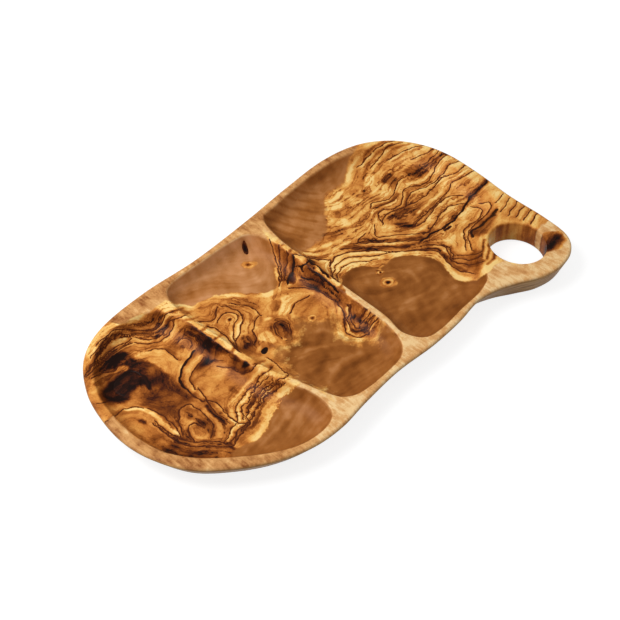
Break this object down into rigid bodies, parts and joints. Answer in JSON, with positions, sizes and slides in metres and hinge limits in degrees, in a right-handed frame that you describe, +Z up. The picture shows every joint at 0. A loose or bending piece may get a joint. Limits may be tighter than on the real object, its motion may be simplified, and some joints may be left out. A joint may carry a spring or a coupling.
{
  "type": "olive wood serving dish",
  "caption": "Free-form carved olive-wood serving dish with scooped compartments between low dividers, an undercut side, inset loose knots and an oval hand hole.",
  "frame": {"origin": "middle of the footprint's bounding box, on the underside", "axes": "+X along the board towards the handle's end, +Y towards the far long edge, +Z up"},
  "size_m": [0.342, 0.192, 0.018],
  "materials": {
    "olive_wood": "oiled satin",
    "dark_knot": "oiled satin"
  },
  "bodies": {
    "root": {"dish_body": "olive_wood", "left_end_knot": "dark_knot", "left_ring_knot": "dark_knot", "middle_far_eye": "dark_knot", "middle_black_eye": "dark_knot", "middle_floor_eye": "dark_knot", "middle_wall_knot": "dark_knot", "middle_pin_knot": "dark_knot", "divider_bark_knot": "dark_knot", "divider_lower_knot": "dark_knot", "right_small_eye": "dark_knot", "right_large_eye": "dark_knot", "handle_knot": "dark_knot"}
  },
  "joints": []
}
